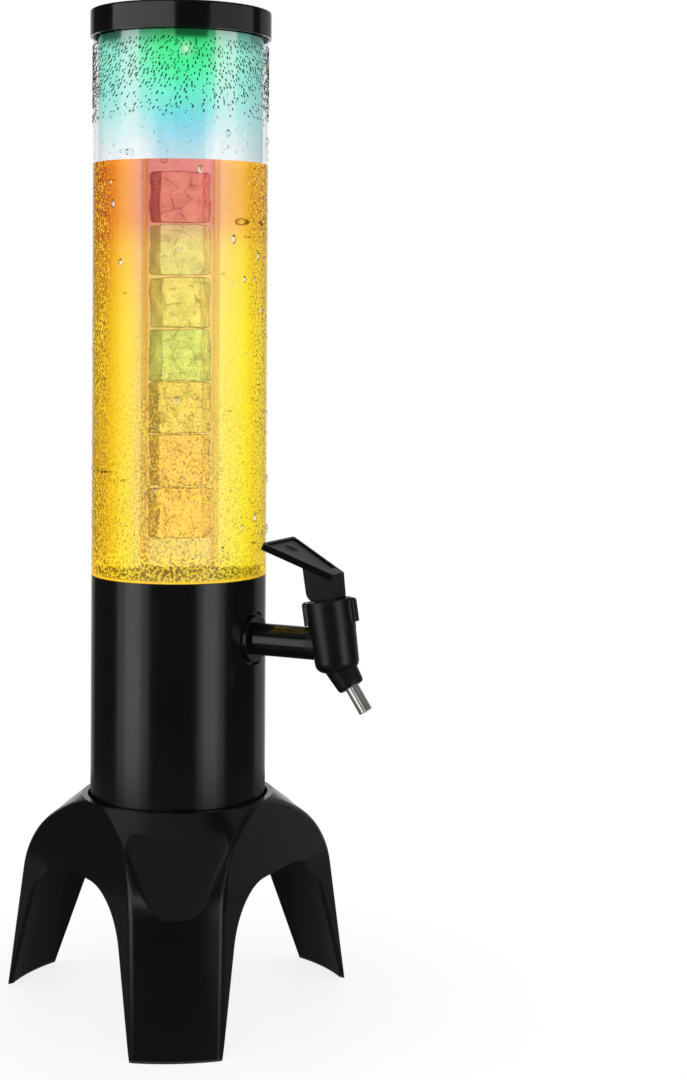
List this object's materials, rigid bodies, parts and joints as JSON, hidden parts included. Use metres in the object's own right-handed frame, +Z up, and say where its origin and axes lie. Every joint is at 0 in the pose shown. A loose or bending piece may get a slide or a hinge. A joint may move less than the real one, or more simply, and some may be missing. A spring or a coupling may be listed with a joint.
{
  "type": "beer tower dispenser",
  "caption": "Table-top drink tower: clear reservoir on a black column and tripod, lift-off lid with ice tube and light, and a lever tap with a slanted spout.",
  "frame": {"origin": "on the tower's axis, in the plane that its three feet stand on", "axes": "+Z up along the tower; the tap points along -Y; one leg stands at the back along +Y, and the other two 60 degrees either side of the tap"},
  "size_m": [0.21, 0.2395, 0.6],
  "materials": {
    "black_abs": "glossy moulded black ABS with a faint orange peel",
    "clear_pc": "clear moulded polycarbonate, polished, slightly grey at its edges",
    "lens_pc": "frosted polycarbonate that spreads the light",
    "silicone": "translucent white food-grade silicone, matt",
    "black_rubber": "black rubber, matt",
    "pcb": "green solder-masked circuit board",
    "led": "clear epoxy over a small light-emitting chip",
    "cell_steel": "nickel-plated steel cell case",
    "grey_plastic": "grey moulded plastic, matt",
    "screw_steel": "zinc-plated steel",
    "stainless": "drawn stainless steel",
    "tap_black": "glossy black moulded acetal"
  },
  "bodies": {
    "root": {"tripod_base": "black_abs", "foot_pads": "black_rubber", "base_screws": "screw_steel", "column_housing": "black_abs", "tube_seal": "silicone", "clear_tube": "clear_pc", "tap_body": "tap_black", "outer_washer": "black_rubber", "inner_washer": "silicone", "shank_nut": "tap_black", "bonnet": "tap_black", "stem_seal": "silicone", "return_spring": "stainless", "spout_collar": "tap_black", "spout_tube": "stainless"},
    "lid": {"lid": "black_abs", "lid_seal": "silicone", "ice_tube_seal": "silicone", "led_housing": "black_abs", "led_lens": "lens_pc", "led_board": "pcb", "led_chips": "led", "coin_cells": "cell_steel", "cell_holder": "grey_plastic", "switch_board": "pcb", "led_switch": "grey_plastic"},
    "led_button": {"led_button": "grey_plastic"},
    "ice_tube": {"ice_tube": "clear_pc"},
    "stem": {"valve_stem": "stainless", "seat_plug": "silicone"},
    "lever": {"lever": "tap_black", "lever_pin": "tap_black"}
  },
  "joints": [
    {"name": "lid_lift", "type": "slide", "parent": "root", "child": "lid", "axis": [0, 0, 1], "range_m": [0, 0.36]},
    {"name": "ice_tube_pull", "type": "slide", "parent": "lid", "child": "ice_tube", "axis": [0, 0, -1], "range_m": [0, 0.025]},
    {"name": "led_button_press", "type": "slide", "parent": "lid", "child": "led_button", "axis": [0, 0, -1], "range_m": [0, 0.0008], "stiffness_N_per_m": 800, "springref_m": -0.0005},
    {"name": "stem_lift", "type": "slide", "parent": "root", "child": "stem", "axis": [0, 0.1564, 0.9877], "range_m": [0, 0.00178], "stiffness_N_per_m": 600, "springref_m": -0.005, "deforming": ["return_spring"]},
    {"name": "lever_press", "type": "hinge", "parent": "stem", "child": "lever", "pos_m": [0, -0.10057, 0.2564], "axis": [-1, 0, 0], "range_deg": [0, 25]}
  ],
  "couplings": [
    {"joint": "lever_press", "follows": "stem_lift", "rad_per_m": 243.9}
  ]
}
